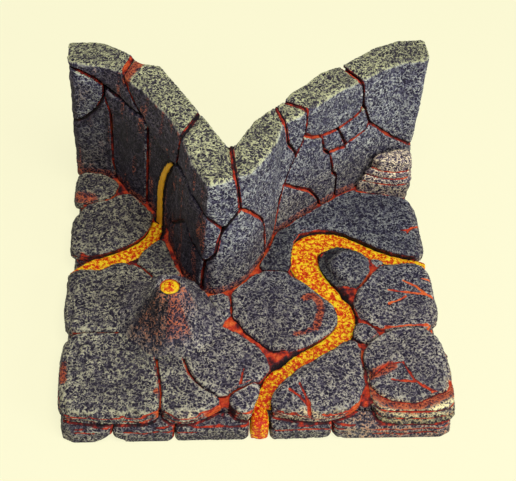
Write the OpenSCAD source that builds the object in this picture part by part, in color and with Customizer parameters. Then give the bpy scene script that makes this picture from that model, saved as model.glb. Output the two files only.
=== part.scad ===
// A lava cavern ornament: a square bed of flat stones, a V of stacked wall stones, a small cone and lava.
// All sizes are in millimetres. X runs to the right, Y to the back and Z up from the table.
// Plan points and wall heights are written for a 150 x 150 mm base with a 65 mm wall, and follow
// the sizes below when those change.

/* [Base] */
// Width of the base, left to right
base_w = 150; // [140:1:160]
// Depth of the base, front to back
base_d = 150; // [140:1:160]
// Height of the bed that the stones stand on
plinth_h = 8; // [7:0.5:10]
// Width of the ring of footing stones round the bed
footing_w = 8; // [7:0.5:9]

/* [Floor] */
// Height of the floor stones above the bed
slab_h = 6; // [5:0.25:8]
// Width of the worn edge round the top of a floor stone
slab_bevel = 1.2; // [0.8:0.1:1.6]
// How far a floor stone spreads towards its foot
slab_batter = 0.4; // [0.2:0.05:0.5]
// Height of the lava above the bed
lava_h = 2; // [1.5:0.1:3]

/* [Wall] */
// Height of the wall above the bed
wall_h = 65; // [58:1:72]
// Gap between two wall stones or footing stones
joint = 0.3; // [0.2:0.05:0.4]
// Width of the worn edges of the wall stones
wall_bevel = 1.5; // [1:0.1:1.8]
// How far the stone behind the lava trickle lies back
hollow_d = 2.5; // [2:0.1:3]
// How far the trickle stands out from the stone behind it
trickle_d = 1.3; // [1:0.1:1.6]

/* [Cone] */
// Height of the cone above the floor stones
cone_h = 18.5; // [14:0.5:22]
// Radius of the part of the cone let in between the floor stones
cone_r = 16; // [15:0.25:16.25]
// Radius of the skirt that spreads over the floor stones
skirt_r = 22; // [19:0.5:23]
// Radius of the crater
crater_r = 3.8; // [3:0.1:4.4]
// Depth of the crater
crater_d = 2.6; // [2:0.1:3.5]
// Width of the lip round the crater
lip_w = 1.2; // [0.8:0.1:1.5]

/* [Pegs] */
// Radius of the pegs that hold the wall and the cone in the bed
peg_r = 2; // [1.5:0.1:2.4]
// Length of a peg below the bed
peg_l = 5; // [4:0.25:5.5]
// Gap round a peg and under it
peg_gap = 0.1; // [0.05:0.05:0.2]

/* [Hidden] */
kx = base_w / 150;
ky = base_d / 150;
k = min(kx, ky);
mid_y = base_d * 0.013167;
rim_x = 75 - footing_w / kx;
rim_y = 75 - footing_w / ky;
strata = slab_h * 0.27;
cone_at = [-34 * kx, -25 * ky - mid_y];
cone_clear = cone_r * k + joint + slab_batter;
shade = [0.27, 0.28, 0.33];
stone = [0.42, 0.44, 0.43];
dark = [0.33, 0.22, 0.22];
glow = [1.0, 0.62, 0.06];
$fn = 64;

// Plan of the wall: distance along it, then the x and y of the top of its face, its foot and its back.
wall_plan = [
    [0, -76.4, 61, -76.4, 58.5, -76.4, 75.9],
    [13.2, -62, 59, -62.5, 56, -62, 74],
    [20.8, -55, 56, -56.5, 52.5, -51, 67.5],
    [28, -51, 50, -53, 46.8, -46, 61],
    [36.5, -45, 44, -47, 39.5, -38, 60],
    [52.3, -36, 31, -38.4, 26, -30, 46],
    [67.5, -30, 17, -33.6, 13, -22.5, 31],
    [83.1, -26, 2, -29.6, -1, -17, 20],
    [96.5, -20, -10, -22, -11.6, -12, 12],
    [102, -14.8, -8.4, -16, -13, -11.3, 11.8],
    [108.2, -9, -6, -10, -11, -10.5, 11.5],
    [114.9, -3, -3, -3.6, -6.8, -8, 13],
    [123.5, 2, 4, 1.5, 0.5, -5, 19],
    [132.9, 7, 12, 6.4, 9, -1, 26],
    [145.6, 11, 24, 11, 20.6, 8, 34.5],
    [159.8, 22, 33, 22.6, 30.2, 11, 38.5],
    [181.1, 38, 47, 40, 43.6, 28, 56],
    [190.5, 46, 52, 47.6, 48, 38.5, 62],
    [201.3, 55, 58, 56, 54, 52, 72.2],
    [212.5, 65, 63, 65.4, 59, 64, 77.6],
    [222.5, 76.4, 64.6, 76.4, 60, 76.4, 79.2]
];

// Plan of the footing ring, in the same columns, from the back left round the front to the back right.
ring_plan = [
    [0, -74.2, 75.6, -75, 75.7, -rim_x, 74.7],
    [143, -74.2, -69, -75, -69, -rim_x, -rim_y + 1],
    [147.1, -73.3, -72.3, -74, -73, -rim_x, -rim_y],
    [151.6, -70, -74.2, -70, -75, -rim_x + 1, -rim_y],
    [291.6, 70, -74.2, 70, -75, rim_x - 1, -rim_y],
    [296.1, 73.3, -72.3, 74, -73, rim_x, -rim_y],
    [300.2, 74.2, -69, 75, -69, rim_x, -rim_y + 1],
    [444.2, 74.2, 78.8, 75, 78.9, rim_x, 78]
];

// Seams of the wall: distance along the wall and height above the bed.
top_seam = [[0, 64.4], [10, 65], [22, 65], [45, 64.4], [66, 65], [97, 64.4], [108, 65], [125, 64.6],
    [146, 65], [160, 64.6], [175, 65], [190, 65], [205, 66], [222.5, 66.2]];
left_end_seam = [[0, 61.5], [5, 60], [10, 57], [15, 53], [20, 50], [35, 50]];
left_mid_seam = [[22, 66], [25, 62], [27, 60], [31, 55], [35, 51], [41, 47], [45, 44], [50, 42.5],
    [55, 43],
    [60, 44], [64.5, 46], [66, 50], [66.4, 55], [67.2, 60], [68.8, 66]];
left_nose_seam = [[64.5, 46], [66, 46.8], [70, 48.8], [80, 50.8], [87, 48.4], [97, 46], [101, 42],
    [104, 38.6]];
left_end_crest = [[0, 32], [5, 35], [10, 41], [12.5, 46], [13.5, 48], [16, 42], [17, 36], [17.4, 0]];
left_low_crest = [[62, 12.8], [66, 15.4], [72, 21.8], [80, 29.8], [84, 30.8], [89, 24.8], [93, 23.2],
    [97, 21.4]];
nose_crest = [[96.6, 0], [97, 21.2], [98.2, 21.9], [101.4, 25.8], [102, 29.8], [102.6, 35.8], [104, 38.5],
    [107, 42], [110.5, 45.5], [113, 45], [117, 41], [121, 36], [125, 31.5], [128, 27], [129.6, 22],
    [131, 14.4], [132.6, 6], [133.6, 0]];
nose_split = [[107.3, 66], [108.5, 61], [109.5, 56], [110.5, 50], [111, 46], [111.1, 0]];
right_face_seam = [[143.8, 0], [145, 10], [146.5, 20], [147.5, 25], [149, 30], [150, 33], [152, 38],
    [155, 42.6], [155.2, 70]];
wedge_seam = [[145.8, 66], [147.5, 60], [149, 52], [152, 48], [155.2, 43], [157, 46], [159, 50],
    [160, 52],
    [160.3, 66]];
right_mid_seam = [[160.2, 50.5], [165, 46.7], [170, 44.7], [176, 43.2], [181, 42.7], [185, 44],
    [189, 45.2],
    [191, 46.5], [193, 49]];
right_end_seam = [[189, 66], [191, 62], [192.5, 55], [193.5, 50], [195, 46], [197.5, 40], [199.5, 37],
    [204, 33], [209, 28], [214, 24], [219, 21], [222.5, 18.2]];
foot_crest = [[143.8, 0], [145, 10], [146.5, 20], [147.5, 25], [149, 30], [155, 25], [160, 21], [166, 16],
    [169, 12], [171.5, 8], [173.5, 0]];
small_left_seam = [[170, 70], [170.2, 44], [171, 38], [173, 35], [176, 32], [177, 28], [178, 24],
    [178.5, 20], [182, 16], [182.2, 9], [182.4, 0]];
small_split = [[179.6, 46], [180.4, 42.4], [183, 37], [185.5, 31.6]];
small_low_seam = [[176, 32], [180, 31.2], [185.5, 30.6], [186, 31.8], [190, 33], [196, 35], [198, 37.6]];
ring_low_seam = [[0, 0], [159, 0], [162, 1.2], [164, 2.8], [165.6, 3.4], [167.6, 2.6], [170, 0.8], [172, 0],
    [187, 0], [189, 0.6], [191, 0.2], [225, 0.3], [240, 0.4], [246, 1], [249.6, 2], [252, 0.8],
    [254.5, 0], [444.2, 0]];

// Helpers for lists of points
function scaled(p) = [for (q = p) [q[0] * kx, q[1] * ky - mid_y]];
function twice_area(p) = let (n = len(p))
    [for (i = [0 : n - 1]) cross(p[i], p[(i + 1) % n])] * [for (i = [1 : n]) 1];
function ccw(p) = twice_area(p) > 0 ? p : [for (i = [len(p) - 1 : -1 : 0]) p[i]];
function eased(p, u) =
    [for (i = [0 : len(p) - 1], t = [u, 1 - u]) p[i] + (p[(i + 1) % len(p)] - p[i]) * t];
function eased_run(p) = concat([p[0]],
    [for (i = [0 : len(p) - 2], t = [0.25, 0.75]) p[i] + (p[i + 1] - p[i]) * t], [p[len(p) - 1]]);
function grow(p, c, d) = [for (q = p) q + (q - c) * d / norm(q - c)];
function beside_cone(p) = [for (q = p) let (d = norm(q - cone_at))
    d < cone_clear ? cone_at + (q - cone_at) * cone_clear / d : q];
function mean(p) = [for (i = [0 : 2]) [for (q = p) q[i]] * [for (q = p) 1] / len(p)];
function sorted(v) = len(v) < 2 ? v : let (m = v[floor(len(v) / 2)])
    concat(sorted([for (x = v) if (x < m - 0.01) x]), [m], sorted([for (x = v) if (x > m + 0.01) x]));

// A solid through a run of rings, closed by a fan of triangles at each end. The strip that starts at the
// turned corner is split along its other diagonal, so that it lies flat on the strip it faces.
module loft(rings, low_mid = undef, high_mid = undef, turned = -1) {
    n = len(rings[0]);
    m = len(rings);
    first = is_undef(low_mid) ? mean(rings[0]) : low_mid;
    last = is_undef(high_mid) ? mean(rings[m - 1]) : high_mid;
    points = concat([for (r = rings) each r], [first, last]);
    faces = concat(
        [for (i = [0 : m - 2], q = [0 : n - 1]) let (a = i * n + q, b = i * n + (q + 1) % n)
            each q == turned ? [[a, a + n, b], [a + n, b + n, b]] : [[a, a + n, b + n], [a, b + n, b]]],
        [for (q = [0 : n - 1]) [n * m, q, (q + 1) % n]],
        [for (q = [0 : n - 1]) [n * m + 1, (m - 1) * n + (q + 1) % n, (m - 1) * n + q]]
    );
    polyhedron(points, faces);
}

// A stone laid flat, clear of the cone. It spreads towards its foot and its top edge is worn. A straight
// line from the middle to any corner stays inside the outline.
module laid(outline, middle, low = 0, high = slab_h, edge = slab_bevel) {
    p = ccw(beside_cone(eased(eased(scaled(outline), 0.16), 0.28)));
    c = scaled([middle])[0];
    levels = [[slab_batter, low], [slab_batter * 0.6, (low + high) / 2], [0, high - edge], [-edge, high]];
    loft(
        [for (v = levels) [for (q = grow(p, c, v[0])) [q[0], q[1], plinth_h + v[1]]]],
        [c[0], c[1], plinth_h + low],
        [c[0], c[1], plinth_h + high]
    );
}

// A point of a course at s: column 1 is the top of its face, 3 its foot and 5 its back.
function plan_at(t, s, c) =
    [kx * lookup(s, [for (r = t) [r[0], r[c]]]),
        ky * lookup(s, [for (r = t) [r[0], r[c + 1]]]) - mid_y];
function face_at(t, s, f) = plan_at(t, s, 3) * (1 - f) + plan_at(t, s, 1) * f;
function inwards(t, s, f) = let (d = plan_at(t, s, 5) - face_at(t, s, f)) d / norm(d);

// The lowest and highest point that a stone may have at s, half a joint off the seams under and over it.
// Seams are written for a course of the full height, and h is the height that it has.
function above(s, seams, h, full) = len(seams) == 0 ? 0 : let (j = joint / 2 / k)
    joint / 2 + max([for (v = seams) max(lookup(s - j, v), lookup(s + j, v))]) * h / full;
function below(s, seams, h, full) = len(seams) == 0 ? h : let (j = joint / 2 / k)
    min([for (v = seams) min(lookup(s - j, v), lookup(s + j, v))]) * h / full - joint / 2;

// One upright ring of a course stone from lo up to hi, worn on all its long edges, least at its back. Its
// lower front edge is worn by no more than foot.
function course_ring(t, s, lo, hi, h, back, pull, foot) =
    let (
        e = min(wall_bevel, (hi - lo) * 0.3),
        f = min(foot, e),
        c = e / 2,
        r = plan_at(t, s, 5),
        near = [for (v = [lo, lo + f, hi - e, hi])
            face_at(t, s, v / h) + inwards(t, s, v / h) * (back + pull)],
        far = [for (v = [lo, lo + c, hi - c, hi]) r - inwards(t, s, v / h) * pull],
        ring = [
            [near[0] + inwards(t, s, lo / h) * f, lo],
            [far[0] - inwards(t, s, lo / h) * c, lo],
            [far[1], lo + c],
            [far[2], hi - c],
            [far[3] - inwards(t, s, hi / h) * c, hi],
            [near[3] + inwards(t, s, hi / h) * e, hi],
            [near[2], hi - e],
            [near[1], lo + f]
        ]
    )
    [for (q = ring) [q[0][0], q[0][1], q[1]]];

// A stone of a course from s0 to s1, between the seams under it and the seams over it. Stones that meet
// have their rings at the same stops.
module course_stone(t, s0, s1, under, over, knots, h, full, lift, back = 0, foot = wall_bevel) {
    from = s0 + joint / 2 / k;
    to = s1 - joint / 2 / k;
    ends = [from, from + wall_bevel / k, to - wall_bevel / k, to];
    stops = sorted(concat(ends, [for (s = knots) if (s > from + 0.05 && s < to - 0.05) s]));
    translate([0, 0, lift])
        loft([for (s = stops)
            let (
                lo = above(s, under, h, full),
                hi = below(s, over, h, full),
                e = min(wall_bevel, (hi - lo) * 0.3)
            )
            course_ring(t, s, lo, hi, h, back, max(0, e - min(s - from, to - s) * k), foot)], turned = 4);
}

wall_knots = [for (v = [wall_plan, left_end_seam, left_mid_seam, left_nose_seam, left_end_crest,
    left_low_crest, nose_crest, nose_split, right_face_seam, wedge_seam, right_mid_seam, right_end_seam,
    foot_crest, small_left_seam, small_split, small_low_seam], q = v) q[0]];
ring_knots = [for (v = [ring_plan, ring_low_seam], q = v) q[0]];

module wall_stone(s0, s1, under, over, back = 0) {
    color(stone)
        course_stone(wall_plan, s0, s1, under, over, wall_knots, wall_h, 65, plinth_h, back);
}

module footing(s0, s1) {
    color(stone)
        course_stone(ring_plan, s0, s1, [ring_low_seam], [], ring_knots, plinth_h, 8, 0, 0, wall_bevel / 5);
}

// Pegs under the lowest wall stones, half way through the wall, and under the cone.
function peg_at(s) = (plan_at(wall_plan, s, 3) + plan_at(wall_plan, s, 5)) / 2;
peg_stops = [12.5, 28, 51, 80, 113, 138, 160, 179, 203];

module peg(p) {
    translate([p[0], p[1], plinth_h - peg_l])
        cylinder(r = peg_r, h = peg_l + 2);
}

module socket(p) {
    translate([p[0], p[1], plinth_h - peg_l - peg_gap])
        cylinder(r = peg_r + peg_gap, h = peg_l + peg_gap + 1);
}

module base_plinth() {
    back = [for (i = [len(wall_plan) - 2 : -1 : 1]) [wall_plan[i][5], wall_plan[i][6]]];
    inner_x = rim_x - joint / kx;
    inner_y = rim_y - joint / ky;
    front = [[-inner_x, 74.6], [-inner_x, -inner_y], [inner_x, -inner_y], [inner_x, 78]];
    color(dark)
        difference() {
            linear_extrude(plinth_h)
                polygon(scaled(concat(front, back)));
            for (s = peg_stops)
                socket(peg_at(s));
            socket(cone_at);
        }
}

// Footing stones round the edge of the bed
module footing_left_back() { footing(0, 68); }
module footing_left_front() { footing(68, 122); }
module footing_corner_left() { footing(122, 165.6); }
module footing_front_left() { footing(165.6, 189); }
module footing_front_mid() { footing(189, 217.6); }
module footing_front_right() { footing(225.4, 249.6); }
module footing_corner_right() { footing(249.6, 320); }
module footing_right_front() { footing(320, 384); }
module footing_right_back() { footing(384, 444.2); }

// Floor stones
module slab_left() {
    color(stone)
        laid([[-76.2, -2.6], [-70, -1.2], [-62, -0.6], [-58, 1.8], [-53, 3.2], [-47, 0.4], [-42, -5],
            [-39.6, -8.4], [-42.6, -9.8], [-47, -13.8], [-50.4, -19], [-51.6, -25], [-50.6, -31.2],
            [-55, -32], [-76.2, -32]], [-62, -15]);
}

module slab_front_left() {
    color(stone)
        laid([[-76.2, -34.2], [-53, -34], [-48.6, -34.6], [-45, -38.4], [-40.6, -41.4], [-39.8, -48],
            [-38.8, -54], [-38.2, -60], [-38.4, -66], [-40, -70.6], [-44, -72], [-60, -71.6], [-68, -71],
            [-73.4, -69.4], [-76, -64.4]], [-57, -54]);
}

module slab_front_triangle() {
    color(stone)
        laid([[-38.4, -42.6], [-34, -42.8], [-30.4, -42.6], [-29.4, -46.6], [-27.6, -53], [-23.4, -59.4],
            [-18.4, -63.6], [-14.8, -66.4], [-20, -69.6], [-26, -72], [-33, -72], [-36.4, -69.4],
            [-36.6, -62], [-37.4, -55]], [-31, -60]);
}

module slab_front_centre() {
    color(stone)
        laid([[-17, -31.4], [-13.6, -30.8], [-8.4, -33], [-3.4, -37.4], [1.6, -42.4], [4.2, -46.4],
            [3.6, -50], [0.8, -54.4], [-3.2, -57], [-8.2, -59.6], [-13, -62.8], [-16.8, -61.8],
            [-21.6, -58.2], [-25.6, -52.8], [-27.8, -46], [-28, -42], [-24, -39.6], [-20.4, -36.4]],
            [-11, -46]);
}

module slab_front_wedge() {
    color(stone)
        laid([[-10.2, -62.4], [-6.2, -60], [-2.4, -58.6], [-0.6, -58], [-1.4, -62], [-3.4, -66.6],
            [-5, -70.6], [-6.4, -71], [-9.4, -69.6], [-11.4, -66.4]], [-6, -65]);
}

module slab_nose_front() {
    color(stone)
        laid([[-10.2, -14.2], [-10.2, -24], [-12.6, -28.6], [-15.8, -30], [-16, -25], [-17, -19],
            [-19, -15.6], [-16, -15]], [-13.4, -21]);
}

module slab_nose_left() {
    color(stone)
        laid([[-38, 16.6], [-36.6, 13], [-35, 8], [-32.8, 0.6], [-30, -3.6], [-28.4, -6.4], [-31, -7.2],
            [-37, -7.2], [-39.4, -5.2], [-42, -1], [-48, 4], [-45.6, 8.2], [-41.4, 12.6]], [-39, 3]);
}

module slab_back_left() {
    color(stone)
        laid([[-75.2, 31], [-71, 35.6], [-66, 37.6], [-60, 39.6], [-57, 42], [-54, 43.4], [-51.6, 42.8],
            [-49, 39.8], [-46, 35.8], [-43.8, 31.6], [-43.4, 27], [-44.2, 23.6], [-46.8, 19.4],
            [-50, 16.2], [-55, 13.2], [-61, 10.4], [-67, 9.2], [-74.6, 9.6], [-76.2, 12], [-76.2, 27]],
            [-58, 25]);
}

module slab_back_left_corner() {
    color(stone)
        laid([[-76.2, 39], [-70, 39], [-64.4, 40.4], [-60.6, 42], [-58.4, 45], [-57.6, 48.6], [-59, 51.2],
            [-62.6, 54.2], [-67, 55.8], [-76.2, 56.8]], [-66, 48]);
}

module slab_centre() {
    color(stone)
        laid([[-8.2, -13.2], [-5, -9.8], [-0.4, -5], [4.4, -2.6], [11, -2], [15.4, -3], [19, -6.4],
            [23.4, -11.2], [27.6, -15.4], [31.2, -20], [32.6, -24], [32.4, -28.5], [30.2, -32],
            [26, -35.4], [20, -38.8], [12, -41.4], [7.4, -42.4], [4.4, -39.6], [0.4, -35.6],
            [-4.6, -30.6], [-7.6, -26], [-8.2, -18]], [11, -20]);
}

module slab_wall_foot() {
    color(stone)
        laid([[3.4, 0.8], [8, -0.2], [15.4, -0.4], [16.2, 2], [16.2, 6], [16.8, 11], [18.2, 16.6],
            [20.8, 19.4], [17.4, 24], [12.8, 20.4], [9.4, 13.4], [7.2, 8]], [13.4, 12]);
}

module slab_back_right() {
    color(stone)
        laid([[18.6, 25.2], [21.8, 20.2], [25.4, 22.4], [30, 24.2], [36, 24], [42, 22.2], [47.4, 18.8],
            [53.4, 14.6], [60, 11], [68, 9.2], [76.2, 9], [76, 36], [74, 40], [70, 42], [66, 43],
            [60, 44.2], [52, 45.6], [49, 46], [43, 43.2], [36, 38], [29.4, 33.2], [24, 28.6]], [46, 33]);
}

module slab_right() {
    color(stone)
        laid([[51.4, -3.4], [55.2, 0.4], [60, 1.9], [66, 2.3], [73, 1.4], [76.2, -1.6], [76.2, -20],
            [75.4, -27], [71, -30.6], [62, -31], [54.4, -32.4], [48.6, -28.8], [44.2, -24.8], [42.8, -20],
            [42.4, -14.6], [44.6, -12], [47.6, -8.4]], [58, -15]);
}

module slab_right_wedge() {
    color(stone)
        laid([[42.8, -28.8], [46, -31], [50, -34], [48, -36.8], [44.4, -38.6], [41.6, -36.6], [40.4, -35],
            [41.6, -31.4]], [45, -34]);
}

module slab_front_mid_right() {
    color(stone)
        laid([[5.4, -66], [5.8, -63.6], [7.8, -60.4], [11.2, -56.4], [16.2, -51.8], [24, -47.2],
            [31, -42.8], [35, -39.8], [37.8, -38.2], [39.6, -39], [40.8, -42], [40, -47], [40.4, -53],
            [40.2, -60], [38.4, -66], [34.4, -69], [30, -70.8], [24, -72.2], [19, -72], [12, -71],
            [5.6, -69.6]], [25, -58]);
}

// Thin layers under the front right floor stone, each set back a little from the one below
module stratum(front, low, high) {
    color(stone)
        laid([[54.8, -34.8], [62, -33.8], [69, -34], [74, -38], [75.6, -45], [75.6, front + 5.4],
            [73, front + 1.4], [66, front], [50, front + 0.2], [45, front + 1.6], [42.8, -64],
            [42.8, -58], [43.8, -53], [42.8, -50], [42.4, -46], [44.8, -41.2], [49.6, -37.4]],
            [58, -52], low, high, 0.4);
}

module strata_low() { stratum(-73.6, 0, strata); }
module strata_mid() { stratum(-71.8, strata, strata * 1.9); }
module strata_high() { stratum(-70, strata * 1.9, strata * 2.7); }

module slab_front_right() {
    color(stone)
        laid([[54.6, -34.4], [62, -33.2], [69, -33.6], [73.6, -38], [75.4, -45], [75.4, -57], [72.6, -62],
            [67, -63.6], [60, -67.4], [50.4, -66], [45.6, -63], [43.8, -58], [45.4, -53], [43, -50],
            [42.6, -46], [44.8, -41], [49.6, -37]], [59, -50], strata * 2.7, slab_h + 0.8, 0.8);
}

module round_stone() {
    color(shade)
        laid([[30.4, 3], [31, 7], [33.2, 10.2], [38, 12], [43, 11], [47.6, 9], [49.8, 6], [50.4, 2],
            [49, -4.5], [46, -8.3], [41, -9.6], [36.8, -8.2], [33.4, -4.4], [31.2, -0.5]], [41, 2],
            0, slab_h + 0.5, slab_bevel * 2);
}

module pebble() {
    color(shade)
        laid([[52, 3.6], [52.4, 5.8], [54, 6], [57, 4.6], [56.4, 3.4], [54, 2.4]], [54.3, 4.2],
            0, slab_h * 0.6, 0.6);
}

// Cone and lava
module volcano_cone() {
    neck_r = crater_r + lip_w * 2.7;
    flank = [[1, joint * 2 / cone_h], [0.7, 0.1], [0.47, 0.23], [0.28, 0.42], [0.13, 0.64], [0, 0.87]];
    profile = concat(
        [[0, 0], [cone_r * k, 0], [cone_r * k, slab_h + joint], [skirt_r * k, slab_h + joint]],
        [for (q = flank) [neck_r + (skirt_r * k - neck_r) * q[0], slab_h + cone_h * q[1]]],
        [[crater_r + lip_w * 1.8, slab_h + cone_h * 0.96], [crater_r + lip_w, slab_h + cone_h],
            [crater_r, slab_h + cone_h - crater_d * 0.3], [crater_r, slab_h + cone_h - crater_d],
            [0, slab_h + cone_h - crater_d]]);
    color(stone) {
        translate([cone_at[0], cone_at[1], plinth_h])
            difference() {
                rotate_extrude()
                    polygon(profile);
                rotate([0, 0, 35.6])
                    translate([17 * k, -skirt_r * 2, -1])
                        cube([skirt_r, skirt_r * 4, slab_h + cone_h + 2]);
            }
        peg(cone_at);
    }
}

module lava_vent() {
    color(glow)
        translate([cone_at[0], cone_at[1], plinth_h + slab_h + cone_h - crater_d])
            rotate_extrude()
                polygon([[0, 0], [crater_r - peg_gap, 0], [crater_r - peg_gap, crater_d * 0.5],
                    [crater_r * 0.6, crater_d * 0.75], [0, crater_d * 0.85]]);
}

// A run of lava from its two banks, the right-hand bank first.
module ribbon(banks) {
    right = eased_run(eased_run(scaled([for (q = banks) [q[0], q[1]]])));
    left = eased_run(eased_run(scaled([for (q = banks) [q[2], q[3]]])));
    edge = lava_h / 4;
    color(glow)
        translate([0, 0, plinth_h])
            loft([for (i = [0 : len(right) - 1])
                let (a = right[i], b = left[i], d = (b - a) / norm(b - a) * edge)
                [[a[0], a[1], 0], [b[0], b[1], 0], [b[0], b[1], lava_h - edge],
                    [b[0] - d[0], b[1] - d[1], lava_h], [a[0] + d[0], a[1] + d[1], lava_h],
                    [a[0], a[1], lava_h - edge]]]);
}

module lava_stream_main() {
    ribbon([[76.2, 5.4, 76.2, 3.4], [68, 6.6, 68, 4], [60.6, 8.9, 59.4, 5.1], [53.2, 12.5, 50.9, 9],
        [46.2, 17.3, 43.8, 13.1], [39, 21.2, 37.4, 14.4], [28.6, 22, 31, 13.2], [19.6, 16.6, 28.2, 10.2],
        [17.2, 6, 28.4, 5.4], [19.8, -3.6, 29.4, -0.6], [25.6, -11.2, 32.4, -6.8], [31, -17.1, 37, -12.9],
        [34, -22, 40.4, -19.8], [34.4, -27.4, 41, -27], [33, -31.4, 38.4, -34.6],
        [27.4, -36.6, 30.6, -40.4], [20.8, -41, 23.2, -45], [12.6, -45.6, 15.4, -49.6],
        [5.6, -51.4, 9.2, -54.8], [1.4, -57.8, 5.8, -60.4], [-0.8, -63.6, 4.2, -64.4],
        [-2, -67, 3.4, -67]]);
}

module lava_stream_left() {
    ribbon([[-76.2, -0.8, -76.2, 1.2], [-72, 0.8, -72.6, 3.8], [-66.4, 2, -67, 6.4],
        [-59.2, 3.7, -60.4, 8.6], [-52, 6.7, -53.8, 11.8], [-45.6, 10.8, -48.6, 15], [-40.2, 16.8, -44, 19.6],
        [-37.6, 23.2, -41.8, 24.8], [-37.8, 27.6, -40.6, 31.6]]);
}

module lava_fall_front() {
    color(glow)
        laid([[-3.3, -67.6], [3.2, -67.6], [3.2, -74.6], [-3.4, -74.6]], [0, -71],
            0.8 - plinth_h, lava_h, 1);
}

// The trickle down the wall: distance along the wall, height above the bed and half width.
module lava_trickle_wall() {
    run = eased_run(eased_run([[50, lava_h + 0.1, 2.6], [50, 10, 2.4], [50, 20, 2.3], [51.5, 28, 2.4],
        [54, 34, 2.2], [57, 39, 1.8], [60, 42.4, 1]]));
    function on(s, z, d) = let (f = z / 65, p = face_at(wall_plan, s, f) + inwards(wall_plan, s, f) * d)
        [p[0], p[1], plinth_h + z * wall_h / 65];
    near = hollow_d - trickle_d;
    far = hollow_d - 0.05;
    color(glow)
        loft([for (q = run) [on(q[0] - q[2] * 0.7, q[1], near), on(q[0] + q[2] * 0.7, q[1], near),
            on(q[0] + q[2], q[1], far), on(q[0] - q[2], q[1], far)]]);
}

// Wall stones, left run
module wall_left_cap_end() { wall_stone(0, 34, [left_end_seam], [top_seam, left_mid_seam]); }
module wall_left_cap_mid() { wall_stone(22.8, 68.2, [left_mid_seam], [top_seam]); }
module wall_left_cap_nose() {
    wall_stone(66.1, 110.7, [left_nose_seam, nose_crest], [top_seam, left_mid_seam, nose_split]);
}
module wall_left_end_small() { wall_stone(0, 13.5, [left_end_crest], [left_end_seam]); }
module wall_left_end_low() {
    wall_stone(0, 17.2, [], [left_end_crest]);
    color(stone)
        peg(peg_at(peg_stops[0]));
}
module wall_left_corner() {
    wall_stone(13.8, 39, [left_end_crest], [left_end_seam, left_mid_seam]);
    color(stone)
        peg(peg_at(peg_stops[1]));
}
module wall_left_hollow() {
    wall_stone(39, 62, [], [left_mid_seam], hollow_d);
    color(stone)
        peg(peg_at(peg_stops[2]));
}
module wall_left_face() {
    wall_stone(62, 103.2, [left_low_crest, nose_crest], [left_mid_seam, left_nose_seam]);
}
module wall_left_low() {
    wall_stone(62, 96.6, [], [left_low_crest]);
    color(stone)
        peg(peg_at(peg_stops[3]));
}
module nose_stone() {
    wall_stone(96.9, 133, [], [nose_crest]);
    color(stone)
        peg(peg_at(peg_stops[4]));
}

// Wall stones, right run
module wall_right_face() {
    wall_stone(107.8, 154.4, [nose_split, nose_crest, right_face_seam], [top_seam, wedge_seam]);
    color(stone)
        peg(peg_at(peg_stops[5]));
}
module wall_right_wedge() { wall_stone(146.4, 160, [wedge_seam], [top_seam]); }
module wall_right_cap_mid() { wall_stone(160.3, 192.8, [right_mid_seam], [top_seam, right_end_seam]); }
module wall_right_cap_end() { wall_stone(190, 222.5, [right_end_seam], [top_seam]); }
module wall_right_mid() {
    wall_stone(149.7, 182, [foot_crest], [right_face_seam, wedge_seam, right_mid_seam, small_left_seam]);
    color(stone)
        peg(peg_at(peg_stops[7]));
}
module wall_right_foot() {
    wall_stone(144.2, 172.8, [], [foot_crest]);
    color(stone)
        peg(peg_at(peg_stops[6]));
}
module wall_right_small_left() {
    wall_stone(170.6, 185, [small_left_seam, small_low_seam], [right_mid_seam, small_split]);
}
module wall_right_small_right() {
    wall_stone(181.4, 197.4, [small_split, small_low_seam], [right_mid_seam, right_end_seam]);
}
module wall_right_low() {
    wall_stone(176.8, 222.5, [small_left_seam], [small_low_seam, right_end_seam]);
    color(stone)
        peg(peg_at(peg_stops[8]));
}

// Layered ledge at the foot of the right wall
module ledge(shift, low, high, edge) {
    color(stone)
        laid([[50.8 + shift * 1.5, 48.8 + shift], [54.4 + shift * 1.2, 47.8 + shift], [60, 46.6 + shift],
            [67, 45.4 + shift], [72.4, 46.2 + shift], [75, 48.4 + shift], [75, 59], [65.4, 58],
            [56.4 + shift * 0.4, 53 + shift * 0.2]], [66, 54], low, high, edge);
}

module ledge_low() { ledge(0, 0, slab_h + 2.6, 0.8); }
module ledge_mid() { ledge(1.2, slab_h + 2.6, slab_h + 5.2, 0.8); }
module ledge_high() { ledge(2.4, slab_h + 5.2, slab_h + 8, 0.8); }
module ledge_top() { ledge(4, slab_h + 8, slab_h + 14.5, 1.5); }

base_plinth();
footing_left_back();
footing_left_front();
footing_corner_left();
footing_front_left();
footing_front_mid();
footing_front_right();
footing_corner_right();
footing_right_front();
footing_right_back();
slab_left();
slab_front_left();
slab_front_triangle();
slab_front_centre();
slab_front_wedge();
slab_nose_front();
slab_nose_left();
slab_back_left();
slab_back_left_corner();
slab_centre();
slab_wall_foot();
slab_back_right();
slab_right();
slab_right_wedge();
slab_front_mid_right();
strata_low();
strata_mid();
strata_high();
slab_front_right();
round_stone();
pebble();
volcano_cone();
lava_vent();
lava_stream_main();
lava_fall_front();
lava_stream_left();
lava_trickle_wall();
wall_left_cap_end();
wall_left_cap_mid();
wall_left_cap_nose();
wall_left_end_small();
wall_left_end_low();
wall_left_corner();
wall_left_hollow();
wall_left_face();
wall_left_low();
nose_stone();
wall_right_face();
wall_right_wedge();
wall_right_cap_mid();
wall_right_cap_end();
wall_right_mid();
wall_right_foot();
wall_right_small_left();
wall_right_small_right();
wall_right_low();
ledge_low();
ledge_mid();
ledge_high();
ledge_top();
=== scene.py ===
"""A lava cavern ornament in cast, hand-painted resin, dressed over its CAD solids.

Points are worked out in millimetres in the part's own frame and written to the meshes in metres. A name set
to two numbers in round brackets, such as FLANK, is a stretch for smoothstep: where something begins, and
where it is complete.
"""

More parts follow.
